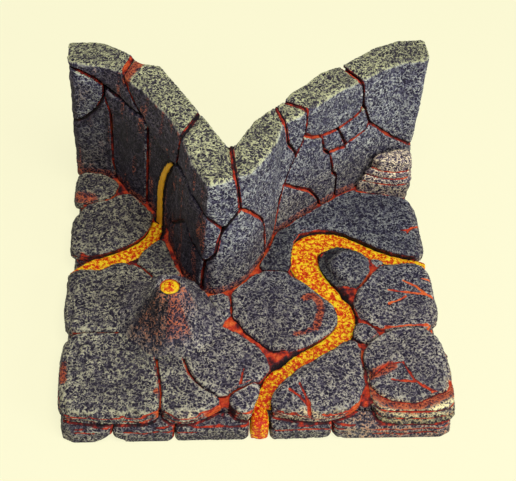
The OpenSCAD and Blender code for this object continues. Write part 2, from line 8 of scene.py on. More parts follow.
from math import radians

import bpy
import numpy as np
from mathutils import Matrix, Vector, noise
from mathutils.bvhtree import BVHTree


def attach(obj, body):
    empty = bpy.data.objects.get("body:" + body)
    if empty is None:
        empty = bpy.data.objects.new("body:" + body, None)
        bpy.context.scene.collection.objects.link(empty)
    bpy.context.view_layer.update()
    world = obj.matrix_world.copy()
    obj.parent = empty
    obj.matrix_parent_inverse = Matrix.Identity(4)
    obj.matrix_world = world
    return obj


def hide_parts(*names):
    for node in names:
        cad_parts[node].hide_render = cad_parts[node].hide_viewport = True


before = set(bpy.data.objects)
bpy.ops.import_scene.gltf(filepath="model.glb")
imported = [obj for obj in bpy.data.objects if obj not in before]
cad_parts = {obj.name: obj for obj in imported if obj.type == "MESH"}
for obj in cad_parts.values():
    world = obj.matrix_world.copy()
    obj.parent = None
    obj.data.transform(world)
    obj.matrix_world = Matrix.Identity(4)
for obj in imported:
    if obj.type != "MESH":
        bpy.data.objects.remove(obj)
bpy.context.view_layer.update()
scene = bpy.context.scene

MM = 0.001

# The edge of the fine faces of the stones and of the bed.
VOXEL = 0.42
BED_VOXEL = max(VOXEL, 0.8)

# How far off another piece is looked for, and the distances over which sides begin to be moved towards it.
REACH = 8.0
GROW_WITHIN = (5.5, 3)

NAMES = sorted(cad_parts)
LAVA = [n for n in NAMES if n.startswith("lava")]
WALL = [n for n in NAMES if n.startswith(("wall", "nose"))]
FOOTING = [n for n in NAMES if n.startswith("footing")]
LAYERED = [n for n in NAMES if n.startswith(("strata", "ledge"))]
SINGLE = ["base_plinth", "volcano_cone"]
FLOOR = [n for n in NAMES if n not in LAVA + WALL + FOOTING + LAYERED + SINGLE]

# The height of the bed's top, and how far the outer faces of the floor lie from its middle.
BED_TOP = 8.0
OUTER_FACE = 75.0

# The cone: its axis in plan, the radius of its crater's rim, the radii over which its flank begins and its
# skirt sinks, how far the skirt sinks, and the heights over which the cone comes out of the floor.
CONE_AT = np.array([-34.0, -27.0])
CRATER_RIM = 5.9
FLANK = (5.5, 9)
SKIRT = (16.5, 22)
SKIRT_DROP = 1.5
CONE_FOOT = (13, 14.2)

# The floor's outer edge, by the depth in from its outer faces: where it is worn down and chipped, what is
# its outer side, and where its red line and the red lips of the joints lie.
WORN_EDGE = (3.6, -0.8)
CHIPPED_EDGE = (2.8, 2.1)
OUTER_SIDE = (5, 1)
EDGE_LINE_REACH = (4.5, 3)
LIP_FROM = (3, 5)

# Where the wear of the front edge comes in, along y, and how far each kind of wear lowers a top.
FRONT_EDGE = (-52, -64)
EDGE_DROP = 0.8
CHIP_DROP = 1.1
BANK_DROP = 1.4

# Distances to the next stone over which a stone's relief and its pale rim begin.
CALM = (0.3, 1.6)
RIM_FROM = (0.9, 2.0)

# Heights on the wall: where its tops begin at the left and at the right, its crest's pale line, its worn
# shoulders, its red bands and its worn ends, and where the red at its foot, the plum, and the dark paint and
# painted shade on faces that look left are.
LEFT_TOPS = (61, 66)
RIGHT_TOPS = (50, 55)
CREST_FROM = (50, 56)
SHOULDER_FROM = (55, 62)
BANDS_FROM = (66, 70)
WORN_END_FROM = (67, 70)
FOOT_BLUSH = (17, 14.6)
PLUM_BELOW = (45, 18)
DARK_AND_SHADE_FADES = (42, 66)

# Heights of the grooves between worn layers on the outer faces of the floor stones and the footing stones,
# half the width of a groove, the heights from which the footing stones have grooves at the left too, and
# the heights of their red line and pale rim.
SLAB_LAYERS = [9.4]
FOOT_LAYERS = [5.6, 3.2]
GROOVE_HALF = 0.6
FOOT_UPPER = (4.2, 4.6)
FOOT_LINE = 7.6
FOOT_RIM = 6.0

# Where the paint changes along x: to warm and to blue on the floor, to tan on its outer sides, and to warm
# on the footing stones.
FLOOR_WARM = (-5, -45)
FLOOR_BLUE = (-40, 5)
TAN_SIDES = (-70, 30)
FOOT_WARM = (15, 45)

# Where the paint changes along y: to darker at the floor's back, as painted shade by the wall, and to redder
# at the front of the lava.
FLOOR_BACK = (-40, 25)
LAVA_REDDER = (-30, -70)

# The paint on the cone: the middle and half the width of its sector in degrees, the degrees that streaks
# shift it by, and the radii over which it comes in.
CONE_PAINT = {
    # The dark sector, on the cone's front left away from the light, is partly dark paint and partly painted
    # shade.
    "dark": (-124, 62, 14, (30, 12)),
    "red": (-78, 34, 14, (21, 11)),
    "rust": (-32, 52, 8, (15, 6)),
}

# The foot of the trickle, by height, and how far it is moved down, to the stream.
TRICKLE_FOOT = (14, 10.5)
TRICKLE_DROP = 1.6

# The back of the fall's top, along y, and how far it is drawn back and lifted, over the stream's end.
FALL_BACK = (-71.5, -69)
FALL_PULL = 2.0
FALL_RISE = (-72, -69)
FALL_LIFT = 0.15

# Painted cracks in the floor stones: half width, depth and the points they run through, widest first.
CRACKS = [
    (0.6, 0.8, [(-7.2, -61), (-6.5, -57), (-5.5, -53.5)]),
    (0.8, 1.0, [(19, -76), (18, -70), (15, -66), (11.5, -63)]),
    (0.6, 0.8, [(18.4, -70), (17.5, -66.5), (15.5, -60.5)]),
    (0.7, 0.9, [(77, -17.5), (66, -16), (56.5, -14.5)]),
    (0.6, 0.7, [(72, -17), (68.5, -12.5), (63.5, -9.5)]),
    (0.6, 0.6, [(56, -21.5), (59.5, -20.5), (63.5, -18)]),
    (0.6, 0.6, [(77, -8.6), (71.5, -8)]),
    (0.7, 0.8, [(77, 23.5), (70, 19.6), (67, 19.3)]),
    (0.5, 0.5, [(72, 20.5), (70.5, 19.4), (69.5, 17.5)]),
    (0.8, 1.1, [(68, -66), (62.5, -62), (60, -59.5), (58.5, -55.5), (57, -52)]),
    (0.6, 0.8, [(60.5, -60.5), (55.5, -60.3), (51.5, -59.5)]),
    (0.6, 0.8, [(67, -65.3), (71.6, -65.8), (74.8, -62.8), (74.5, -59.3)]),
    (0.6, 0.5, [(45, -57), (48, -54.5), (51, -52.5), (57, -51.8)]),
    (0.9, 0.6, [(53, -33.5), (57, -34), (63, -33.2), (71, -32.5)]),
]

# Places where the stones' tops are brushed red: a radius, a strength and the points of the brush stroke.
BLUSHES = [
    (1.7, 0.9, [(21.2, -18.8), (24.7, -17.2), (26.9, -20.9), (27.3, -25.2), (25.6, -30.4), (24.4, -34)]),
    (1.4, 0.6, [(24.4, -34), (19.7, -36), (15.9, -37)]),
    (2.4, 0.9, [(43.5, -57.5), (47, -56), (52, -53.5)]),
    (1.1, 1.0, [(-39, -63.5), (-39, -63)]),
    (1.8, 0.7, [(-75, -50), (-74.5, -57)]),
    (3.5, 0.6, [(-75, 40), (-69, 38)]),
    (4.0, 0.55, [(-29, -31), (-27, -36), (-31, -40)]),
    (2.6, 0.6, [(-29, -8), (-24, -12)]),
]

# Red bands brushed across the top of the wall, written in the same way.
TOP_BANDS = [(2.4, 0.95, [(-53, 48.5), (-46, 60.5)])]

# Small round lumps on the front left stone: a point, a radius and a height.
LUMPS = [(-66.4, -44, 2.4, 1.3), (-63.6, -46, 1.1, 0.9), (-68, -47, 1.3, 0.8)]

# How light a floor stone or a layer is painted, where it differs from the others of its kind. The darker
# stones by the wall carry painted shade, and the paler stones at the back left carry painted light against
# the lamps' shade there.
TONES_AND_SHADE = {
    "slab_wall_foot": 0.55,
    "slab_back_right": 0.88,
    "slab_centre": 0.9,
    "round_stone": 0.85,
    "slab_back_left": 1.1,
    "slab_back_left_corner": 1.15,
    "slab_front_wedge": 1.15,
    "ledge_low": 0.6,
    "strata_low": 0.36,
    "strata_mid": 0.62,
}

# A stone whose flat top is only a disc on it: the disc's middle and radius.
DISC_TOPS = {"round_stone": (43.8, -1.3, 7.6)}

# Stones whose banks and cracks are painted redder than the others', and by how much.
RED_BANKS = {"slab_nose_left": 0.4, "slab_left": 0.1, "slab_right": 0.3}

# Wall stones whose thin upper edge, which hangs over the stone named second, is worn round.
WORN_ENDS = {"wall_left_cap_mid": "wall_left_cap_end"}

# Two stones that read as one: no joint is painted between them.
JOINED = {"slab_wall_foot": "slab_back_right", "slab_back_right": "slab_wall_foot"}

# The lean of the grey paint in red, green and blue, and the layers that carry it.
WARM = np.array([1.06, 0.99, 0.94])
OLIVE = np.array([1.03, 1.02, 0.78])
PLUM = np.array([1.02, 0.93, 1.03])
BLUE = np.array([0.97, 0.99, 1.30])
# Dark for the wall where it looks left: partly dark paint, partly painted shade on faces turned from the
# light.
DARK_PAINT_AND_SHADE = np.array([0.31, 0.26, 0.44])
TAN = np.array([1.9, 1.5, 1.2])
STRATA = np.array([2.4, 2.1, 1.55])
LEDGE = np.array([2.35, 1.95, 1.8])
TINT_LAYERS = ["red", "green", "blue"]

# The lamps: place and size in metres, watts and colour, and the point they are turned to.
LAMPS = {
    "key": ((0.12, -0.32, 0.92), 0.6, 7.1, (1.0, 0.97, 0.92)),
    "side": ((0.8, -0.55, 0.45), 0.5, 5.0, (0.84, 0.91, 1.0)),
}
LAMPS_AIM = Vector((0, 0, 0.02))

# The room's light, and half the width of the floor that the part stands on, in metres.
SKY_COLOUR = (0.80, 0.86, 1.0, 1.0)
SKY_STRENGTH = 0.2
STAGE_HALF = 4.0

# The camera: its place in metres, its turn in degrees, and its sensor and lens in millimetres.
CAMERA_AT = (-0.03257, -0.27646, 0.33481)
CAMERA_TURN = (42.1545, -3.5720, -3.1948)
SENSOR = 36
LENS = 70.31


def srgb(red, green, blue):
    """A colour as it looks on screen, from 0 to 255, as the linear colour that a shader takes."""
    return tuple(((c / 255 + 0.055) / 1.055) ** 2.4 for c in (red, green, blue)) + (1.0,)


def smoothstep(low, high, x):
    """0 at low, 1 at high and a soft step between; low may be the greater of the two."""
    t = np.clip((x - low) / (high - low), 0.0, 1.0)
    return t * t * (3 - 2 * t)


def band(x, middle, half):
    """1 close to the middle, 0 from half away."""
    return smoothstep(half, 0.3 * half, np.abs(x - middle))


def blend(a, b, share):
    """A colour between a and b at each point."""
    return a + (b - a) * share[:, None]


def strongest(*layers):
    """The greatest of several values at each point."""
    return np.maximum.reduce(layers)


def noise_at(points, size, shift=0.0):
    """Smooth noise from about -1 to 1 with lumps of that size in millimetres."""
    scaled = (points + shift) / size
    return np.array([noise.noise(p) for p in scaled.tolist()])


def run_distance(points, run):
    """Distance in plan from each point to a run of straight stretches, and how far along the run it is."""
    xy = points[:, :2]
    corners = np.array(run, float)
    best = np.full(len(points), np.inf)
    share = np.zeros(len(points))
    for i, (start, end) in enumerate(zip(corners[:-1], corners[1:])):
        along = end - start
        part = np.clip((xy - start) @ along / (along @ along), 0, 1)
        off = np.linalg.norm(xy - start - part[:, None] * along, axis=1)
        share = np.where(off < best, (i + part) / (len(corners) - 1), share)
        best = np.minimum(best, off)
    return best, share


def inside_outer_face(points):
    """How far each point lies in from the left, right and front faces of the floor."""
    return np.minimum(OUTER_FACE - np.abs(points[:, 0]), OUTER_FACE + points[:, 1])


def cad_shape(name):
    """The points and triangles of a CAD node, in millimetres."""
    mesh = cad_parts[name].data
    mesh.calc_loop_triangles()
    points = np.array([v.co for v in mesh.vertices]) / MM
    faces = [tuple(t.vertices) for t in mesh.loop_triangles]
    return points, faces


CAD_SHAPES = {name: cad_shape(name) for name in NAMES}


def nearest(points, names):
    """The nearest spot on these CAD nodes to each point, and how far off it is, up to REACH."""
    low, high = points.min(0) - REACH, points.max(0) + REACH
    corners, faces = [], []
    for name in names:
        shape, triangles = CAD_SHAPES[name]
        if (shape.max(0) > low).all() and (shape.min(0) < high).all():
            faces += [tuple(i + len(corners) for i in t) for t in triangles]
            corners += shape.tolist()
    if not faces:
        return points, np.full(len(points), REACH)
    tree = BVHTree.FromPolygons(corners, faces)
    starts = points.tolist()
    found = [tree.find_nearest(p, REACH) for p in starts]
    spots = np.array([p if f[0] is None else f[0] for p, f in zip(starts, found)])
    return spots, np.array([REACH if f[3] is None else f[3] for f in found])


def distance_to(points, names):
    """How far each point is from the nearest of these CAD nodes, up to REACH."""
    return nearest(points, names)[1]


def others(name):
    """All nodes but this one and the one that it is joined to."""
    return [n for n in NAMES if n not in (name, JOINED.get(name))]


class Piece:
    """A fine copy of one CAD node: its points, how they are joined and the paint on them."""

    def __init__(self, name, voxel=VOXEL):
        self.name = name
        self.object = bpy.data.objects.new(name + "_dressed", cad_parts[name].data.copy())
        scene.collection.objects.link(self.object)
        remesh = self.object.modifiers.new("even faces", "REMESH")
        remesh.mode = "VOXEL"
        remesh.voxel_size = voxel * MM
        graph = bpy.context.evaluated_depsgraph_get()
        mesh = bpy.data.meshes.new_from_object(self.object.evaluated_get(graph))
        self.object.modifiers.clear()
        self.object.data = mesh
        self.mesh = mesh
        points = np.empty(len(mesh.vertices) * 3)
        mesh.vertices.foreach_get("co", points)
        self.points = points.reshape(-1, 3) / MM
        edges = np.empty(len(mesh.edges) * 2, int)
        mesh.edges.foreach_get("vertices", edges)
        self.edges = edges.reshape(-1, 2)
        self.degree = np.bincount(edges, minlength=len(self.points)).clip(1)
        self.points = self.neighbour_mean(self.points)
        self.update()
        # Moves the noise, so that each piece has its own relief.
        self.shift = 13.7 * (sum(map(ord, name)) % 97)

    def neighbour_mean(self, values):
        """The mean of each point's neighbours."""
        flat = values.reshape(len(values), -1)
        start, end = self.edges.T
        columns = [
            np.bincount(start, flat[end, i], len(flat)) + np.bincount(end, flat[start, i], len(flat))
            for i in range(flat.shape[1])
        ]
        return (np.stack(columns, 1) / self.degree[:, None]).reshape(values.shape)

    def spread(self, values, rounds):
        """The values evened out over the surface, wider with more rounds."""
        for _ in range(rounds):
            values = 0.5 * values + 0.5 * self.neighbour_mean(values)
        return values

    def update(self):
        """Write the points back and read the new normals."""
        self.mesh.vertices.foreach_set("co", (self.points * MM).ravel())
        self.mesh.update()
        normals = np.empty(len(self.points) * 3)
        self.mesh.vertex_normals.foreach_get("vector", normals)
        self.normals = normals.reshape(-1, 3)

    def push(self, depth):
        """Move each point along its normal, and none below the table."""
        self.points = self.points + self.normals * depth[:, None]
        self.points[:, 2] = self.points[:, 2].clip(0)
        self.update()

    def grow(self, names, gap, most, share=0.5):
        """Move the sides level towards these nodes: a share of what is over the gap, no more than most."""
        spots, off = nearest(self.points, names)
        towards = (spots - self.points) * (1, 1, 0)
        length = np.linalg.norm(towards, axis=1).clip(0.05)
        step = (share * (off - gap)).clip(0, most) * smoothstep(*GROW_WITHIN, off)
        self.points = self.points + self.spread(towards * (step / length)[:, None], 3)
        self.update()

    def top_edge(self, reach):
        """1 along the edges of a top, fading out over about that far on the top, 0 elsewhere."""
        level = smoothstep(0.45, 0.95, self.normals[:, 2])
        rounds = int(3 * (reach / VOXEL) ** 2) + 1
        return (2.4 * (level - self.spread(level, rounds))).clip(0, 1)

    def paint(self, tint, **layers):
        """Keep the lean of the paint and each layer of it as values on the points."""
        lean = np.broadcast_to(tint, (len(self.points), 3))
        for name, values in (layers | dict(zip(TINT_LAYERS, lean.T))).items():
            layer = self.mesh.attributes.new(name, "FLOAT", "POINT")
            layer.data.foreach_set("value", np.broadcast_to(values, len(self.points)).astype(np.float32))

    def finish(self, material):
        """Smooth shading, the material, and this piece in place of its CAD node."""
        self.mesh.materials.clear()
        self.mesh.materials.append(material)
        self.mesh.polygons.foreach_set("use_smooth", np.ones(len(self.mesh.polygons), bool))
        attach(self.object, "root")
        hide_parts(self.name)


class Shader:
    """Short ways to build one node material."""

    def __init__(self, name):
        self.material = bpy.data.materials.new(name)
        self.material.use_nodes = True
        self.tree = self.material.node_tree
        self.surface = self.tree.nodes["Principled BSDF"]

    def add(self, kind, **settings):
        """A new node with these settings."""
        node = self.tree.nodes.new(kind)
        for name, value in settings.items():
            setattr(node, name, value)
        return node

    def feed(self, socket, value):
        """Link an output to a socket, or set the socket to a plain value."""
        if isinstance(value, bpy.types.NodeSocket):
            self.tree.links.new(value, socket)
        else:
            socket.default_value = value

    def place(self):
        """Position on the part in millimetres."""
        where = self.add("ShaderNodeTexCoord").outputs["Object"]
        grown = self.add("ShaderNodeVectorMath", operation="SCALE")
        self.feed(grown.inputs[0], where)
        grown.inputs["Scale"].default_value = 1 / MM
        return grown.outputs[0]

    def layer(self, name):
        """A layer of the paint that is kept on the points."""
        return self.add("ShaderNodeAttribute", attribute_name=name).outputs["Fac"]

    def tint(self):
        """The lean of the paint, from its three layers."""
        node = self.add("ShaderNodeCombineColor")
        for socket, name in zip(node.inputs, TINT_LAYERS):
            self.feed(socket, self.layer(name))
        return node.outputs[0]

    def noise(self, where, size, detail=2.0, rough=0.5):
        """Smooth noise from 0 to 1 with lumps of that size in millimetres."""
        node = self.add("ShaderNodeTexNoise")
        self.feed(node.inputs["Vector"], where)
        node.inputs["Scale"].default_value = 1 / size
        node.inputs["Detail"].default_value = detail
        node.inputs["Roughness"].default_value = rough
        return node.outputs["Fac"]

    def winding(self, where, size, width):
        """1 along thin lines that wind about that far apart, 0 between them."""
        off = self.math("ABSOLUTE", self.math("SUBTRACT", self.noise(where, size, detail=1.0), 0.5))
        return self.step(off, 0.0, width, 1.0, 0.0)

    def math(self, operation, a, b=0.0):
        """The result of one operation on two values; some need only the first."""
        node = self.add("ShaderNodeMath", operation=operation)
        self.feed(node.inputs[0], a)
        self.feed(node.inputs[1], b)
        return node.outputs[0]

    def total(self, start, *parts):
        """A start value plus each part's value times its weight."""
        for weight, value in parts:
            node = self.add("ShaderNodeMath", operation="MULTIPLY_ADD")
            for socket, v in zip(node.inputs, (value, weight, start)):
                self.feed(socket, v)
            start = node.outputs[0]
        return start

    def step(self, value, low, high, to_low=0.0, to_high=1.0):
        """A soft step from to_low at low to to_high at high."""
        node = self.add("ShaderNodeMapRange", interpolation_type="SMOOTHSTEP")
        for socket, v in zip(node.inputs, (value, low, high, to_low, to_high)):
            self.feed(socket, v)
        return node.outputs[0]

    def mix(self, factor, a, b, blend_type="MIX"):
        """Colour a changed to colour b, or by it, by that factor."""
        node = self.add("ShaderNodeMix", data_type="RGBA", blend_type=blend_type)
        self.feed(node.inputs[0], factor)
        self.feed(node.inputs[6], a)
        self.feed(node.inputs[7], b)
        return node.outputs[2]

    def ramp(self, value, stops):
        """A colour for each value, through these stops."""
        node = self.add("ShaderNodeValToRGB")
        while len(node.color_ramp.elements) < len(stops):
            node.color_ramp.elements.new(0.5)
        for element, (position, colour) in zip(node.color_ramp.elements, stops):
            element.position = position
            element.color = colour
        self.feed(node.inputs[0], value)
        return node.outputs[0]

    def bump(self, height, depth):
        """Fine roughness of the surface, that deep in millimetres."""
        node = self.add("ShaderNodeBump")
        node.inputs["Distance"].default_value = depth * MM
        self.feed(node.inputs["Height"], height)
        self.feed(self.surface.inputs["Normal"], node.outputs[0])


def rock_material():
    """Dark slate stone, dry-brushed pale on its ridges and worn edges, with red paint in its joints."""
    paint = Shader("painted_rock")
    where = paint.place()
    fine = paint.noise(where, size=0.7, detail=2.0, rough=0.6)
    grain = paint.noise(where, size=2.2, detail=3.0, rough=0.6)
    broad = paint.noise(where, size=14)
    close_lines = paint.winding(where, size=1.5, width=0.12)
    wide_lines = paint.winding(where, size=2.6, width=0.05)
    lines = paint.math("MAXIMUM", close_lines, wide_lines)
    lines = paint.math("MULTIPLY", lines, paint.step(grain, 0.3, 0.6, 0.4, 1.0))
    rim = paint.math("MULTIPLY", paint.layer("rim"), paint.step(grain, 0.3, 0.55))
    height = paint.total(-0.52, (0.32, paint.layer("relief")), (0.72, lines), (1.05, fine), (0.45, rim))
    body = paint.ramp(height, [
        (0.10, srgb(25, 21, 36)),
        (0.34, srgb(67, 63, 78)),
        (0.56, srgb(120, 119, 115)),
        (0.88, srgb(192, 193, 164)),
    ])
    body = paint.mix(paint.step(broad, 0.38, 0.66, 0.0, 0.3), body, srgb(52, 48, 58))
    body = paint.mix(1.0, body, paint.tint(), "MULTIPLY")
    brushed = paint.step(paint.total(0.0, (1.0, paint.layer("blush")), (0.7, height)), 0.5, 1.1)
    brushed = paint.math("MULTIPLY", brushed, paint.step(paint.layer("blush"), 0.02, 0.3))
    body = paint.mix(brushed, body, paint.ramp(height, [
        (0.15, srgb(74, 28, 33)),
        (0.45, srgb(150, 60, 44)),
        (0.85, srgb(198, 106, 68)),
    ]))
    uneven = paint.math("SUBTRACT", grain, 0.5)
    # The red paint in the joints also carries painted light and shade: redder on banks that look right,
    # darker on those that look left.
    ember = paint.ramp(paint.total(0.0, (1.0, paint.layer("ember")), (1.2, uneven)), [
        (0.20, srgb(24, 16, 22)),
        (0.42, srgb(94, 30, 32)),
        (0.62, srgb(196, 56, 30)),
        (0.95, srgb(232, 108, 50)),
    ])
    joint = paint.total(0.0, (1.0, paint.layer("joint")), (0.6, uneven))
    body = paint.mix(paint.step(joint, 0.3, 0.7), body, ember)
    paint.feed(paint.surface.inputs["Base Color"], body)
    paint.feed(paint.surface.inputs["Roughness"], paint.step(height, 0.1, 0.9, 0.6, 0.85))
    paint.surface.inputs["Specular IOR Level"].default_value = 0.25
    paint.bump(paint.total(0.0, (1.0, height), (0.4, grain)), depth=0.3)
    return paint.material


def lava_material():
    """Bright orange-yellow paint, mottled red in small spots, yellow at its edges; the trickle is amber."""
    paint = Shader("painted_lava")
    where = paint.place()
    fine = paint.noise(where, size=1.3, detail=3.0, rough=0.8)
    value = paint.total(0.0, (1.0, fine), (1.0, paint.layer("relief")), (0.14, paint.layer("edge")))
    colour = paint.ramp(value, [
        (0.40, srgb(196, 30, 6)),
        (0.46, srgb(218, 72, 6)),
        (0.51, srgb(236, 142, 6)),
        (0.57, srgb(255, 220, 36)),
    ])
    colour = paint.mix(paint.layer("amber"), colour, srgb(255, 188, 44))
    paint.feed(paint.surface.inputs["Base Color"], colour)
    paint.feed(paint.surface.inputs["Roughness"], paint.step(fine, 0.3, 0.7, 0.4, 0.65))
    paint.surface.inputs["Specular IOR Level"].default_value = 0.25
    paint.bump(fine, depth=0.3)
    return paint.material


def stage_material():
    """A cream floor that looks even to the camera and keeps a soft shadow."""
    paint = Shader("cream_floor")
    cream = srgb(255, 252, 214)
    paint.surface.inputs["Base Color"].default_value = cream
    paint.surface.inputs["Roughness"].default_value = 0.9
    path = paint.add("ShaderNodeLightPath")
    seen = paint.math("MAXIMUM", path.outputs["Is Camera Ray"], path.outputs["Is Glossy Ray"])
    seen = paint.math("MAXIMUM", seen, path.outputs["Is Transmission Ray"])
    glow = paint.add("ShaderNodeEmission")
    glow.inputs["Color"].default_value = cream
    both = paint.add("ShaderNodeMixShader")
    paint.feed(both.inputs[0], paint.math("MULTIPLY", seen, 0.85))
    paint.feed(both.inputs[1], paint.surface.outputs[0])
    paint.feed(both.inputs[2], glow.outputs[0])
    paint.feed(paint.tree.nodes["Material Output"].inputs["Surface"], both.outputs[0])
    return paint.material


ROCK = rock_material()
LAVA_PAINT = lava_material()


def worms_at(points, size, width, shift):
    """Winding ridges: 1 along lines that meander about that far apart, 0 between them."""
    field = noise_at(points, size, shift) + 0.55 * noise_at(points, size * 0.47, shift + 3)
    return smoothstep(width, 0.02, np.abs(field))


def rock_relief(piece, size=1.9):
    """The wormy texture of the casting: thin broken ridges round small pits, from about 0 to 1."""
    fine = worms_at(piece.points, size, 0.3, piece.shift)
    coarse = worms_at(piece.points, size * 2.3, 0.15, piece.shift + 31)
    broken = smoothstep(-0.45, 0.2, noise_at(piece.points, size * 1.6, piece.shift + 57))
    grain = 0.5 + 0.5 * noise_at(piece.points, 1.3, piece.shift)
    return (0.62 * np.maximum(fine, 0.8 * coarse) * (0.35 + 0.65 * broken) + 0.3 * grain).clip(0, 1)


def swell_at(piece, size, height):
    """Slow swelling of a surface, with lumps of that size and less than half that size."""
    broad = noise_at(piece.points, size, piece.shift)
    return height * (broad + 0.5 * noise_at(piece.points, size / 2.3, 7))


def crack_depths(points):
    """How deep the painted cracks are at each point, and how much of their paint lies there."""
    wobble = 0.4 * noise_at(points, 2.5)
    depth = np.zeros(len(points))
    paint = np.zeros(len(points))
    for width, deep, run in CRACKS:
        off, along = run_distance(points, run)
        half = width * (1 - 0.6 * along)
        off = off + wobble
        depth = np.maximum(depth, deep * (1 - 0.5 * along) * smoothstep(half + 0.5, 0.1, off))
        paint = np.maximum(paint, smoothstep(half + 0.4, half * 0.3, off))
    return depth, paint


def strokes_at(points, strokes):
    """How much paint a list of brush strokes leaves at each point."""
    total = np.zeros(len(points))
    for radius, strength, run in strokes:
        off = run_distance(points, run)[0]
        total = np.maximum(total, strength * smoothstep(radius * 1.4, radius * 0.3, off))
    return total


def lumps_at(points):
    """Height of the small round lumps at each point, and the dark ring round them."""
    height = np.zeros(len(points))
    ring = np.zeros(len(points))
    for x, y, radius, top in LUMPS:
        off = np.hypot(points[:, 0] - x, points[:, 1] - y) / radius
        height = np.maximum(height, top * np.sqrt((1 - off ** 2).clip(0)))
        ring = np.maximum(ring, band(off, 1.2, 0.45))
    return height, ring


def layer_grooves(piece, heights):
    """Level, wavy grooves between worn layers on steep faces, and their paint: red below, dark above."""
    flat = piece.points * (1, 1, 0.2)
    wave = 0.8 * noise_at(flat, 8) + 0.3 * noise_at(flat, 3)
    groove = np.zeros(len(piece.points))
    glow = np.zeros(len(piece.points))
    for z in heights:
        off = piece.points[:, 2] - wave - z
        groove = np.maximum(groove, band(off, 0, GROOVE_HALF))
        glow = np.maximum(glow, smoothstep(0.3, -0.1, off) * (np.abs(off) < GROOVE_HALF))
    broken = smoothstep(-0.4, 0.1, noise_at(piece.points * (1, 1, 2), 12, 40))
    return groove * broken * smoothstep(0.8, 0.4, np.abs(piece.normals[:, 2])), 0.15 + 0.5 * glow


def joint_paint_and_shade(piece, level, lean=0.4):
    """Paint in a joint, in patches, with painted light and shade: redder on banks that look right, towards
    the light, and darker on those that look left, away from it.
    """
    patches = 0.3 * noise_at(piece.points, 6, piece.shift + 17)
    # The lean by which way a bank looks is painted light and painted shade on the joint's red paint.
    return level + patches + lean * piece.normals[:, 0]


def around_cone(points, stretch):
    """The way out from the cone's axis, how far that is, and places where noise makes streaks down it."""
    out = points[:, :2] - CONE_AT
    radius = np.hypot(*out.T)
    return out, radius, np.column_stack([out / radius.clip(1e-3)[:, None] * 9, radius * stretch])


def cone_paint(points):
    """How dark, how red and how rusty the paint is on and round the cone, and its radial streaks; the dark
    is partly dark paint and partly painted shade on the cone's front left, away from the light.
    """
    out, radius, around = around_cone(points, 0.12)
    turn = np.degrees(np.arctan2(out[:, 1], out[:, 0]))
    streak = noise_at(around, 1.3, 4) + 0.5 * noise_at(around, 0.6, 8)
    shares = [
        band(turn + shift * streak, middle, half) * smoothstep(*radii, radius)
        for middle, half, shift, radii in CONE_PAINT.values()
    ]
    return *shares, streak


def floor_tint(points):
    """The floor's paint: warm at the left, plum in the middle, blue towards the wall, and darker there as
    painted shade.
    """
    tint = blend(PLUM, WARM, smoothstep(*FLOOR_WARM, points[:, 0]))
    back = smoothstep(*FLOOR_BACK, points[:, 1])
    tint = blend(tint, BLUE, back * smoothstep(*FLOOR_BLUE, points[:, 0]))
    # Darker towards the wall: painted shade.
    return tint * (1.0 - 0.3 * back)[:, None]


def disc_slope(name, points):
    """0 on a stone's flat top, 1 down the bank round it, for stones whose top is only a disc."""
    if name not in DISC_TOPS:
        return np.zeros(len(points))
    x, y, radius = DISC_TOPS[name]
    return smoothstep(0, 3.5, np.hypot(points[:, 0] - x, points[:, 1] - y) - radius)


def red_lip_lit_side(piece):
    """Red paint along those edges of a top that look right or to the front, towards the light: the joints'
    red paint, shown only on the lit side as painted light.
    """
    side = piece.spread(piece.normals, 5)
    facing = smoothstep(0.06, 0.28, side[:, 0] - 0.35 * side[:, 1])
    return facing * smoothstep(0.4, 0.75, piece.top_edge(0.6))


def edge_wear(points, sunk, front):
    """Wear of the floor's outer edge: its jagged depth in, its chips, and the red line under its rim."""
    depth_in = inside_outer_face(points)
    coarse = noise_at(points, 5, 61)
    fine = noise_at(points, 2.2, 5)
    jagged = depth_in + 2.6 * coarse + 1.2 * fine
    chips = smoothstep(*CHIPPED_EDGE, jagged) * front
    broken = smoothstep(-0.55, -0.2, noise_at(points, 7, 3))
    line = band(sunk + 0.7 * coarse + 0.3 * fine, 1.5, 0.5) * smoothstep(*EDGE_LINE_REACH, depth_in)
    return jagged, chips, line * broken * front


def bank_paint_and_shade(piece, sunk, lava, under):
    """Paint on a floor stone's banks: red in wavy layers, dark by the lava, patchy under the outer edge, and
    redder or darker by which way a bank looks, as painted light and shade.
    """
    points = piece.points
    layers = 0.16 * np.sin(4.5 * points[:, 2] + 3 * noise_at(points * (1, 1, 0), 6))
    level = 0.48 + RED_BANKS.get(piece.name, 0.0)
    glow = joint_paint_and_shade(piece, level) + 0.15 * smoothstep(2, 5, sunk) + layers
    glow = np.where(under > 0.1, 0.25 + 0.5 * noise_at(points, 6, 29), glow)
    return glow * (0.4 + 0.6 * smoothstep(1.0, 3.5, lava))


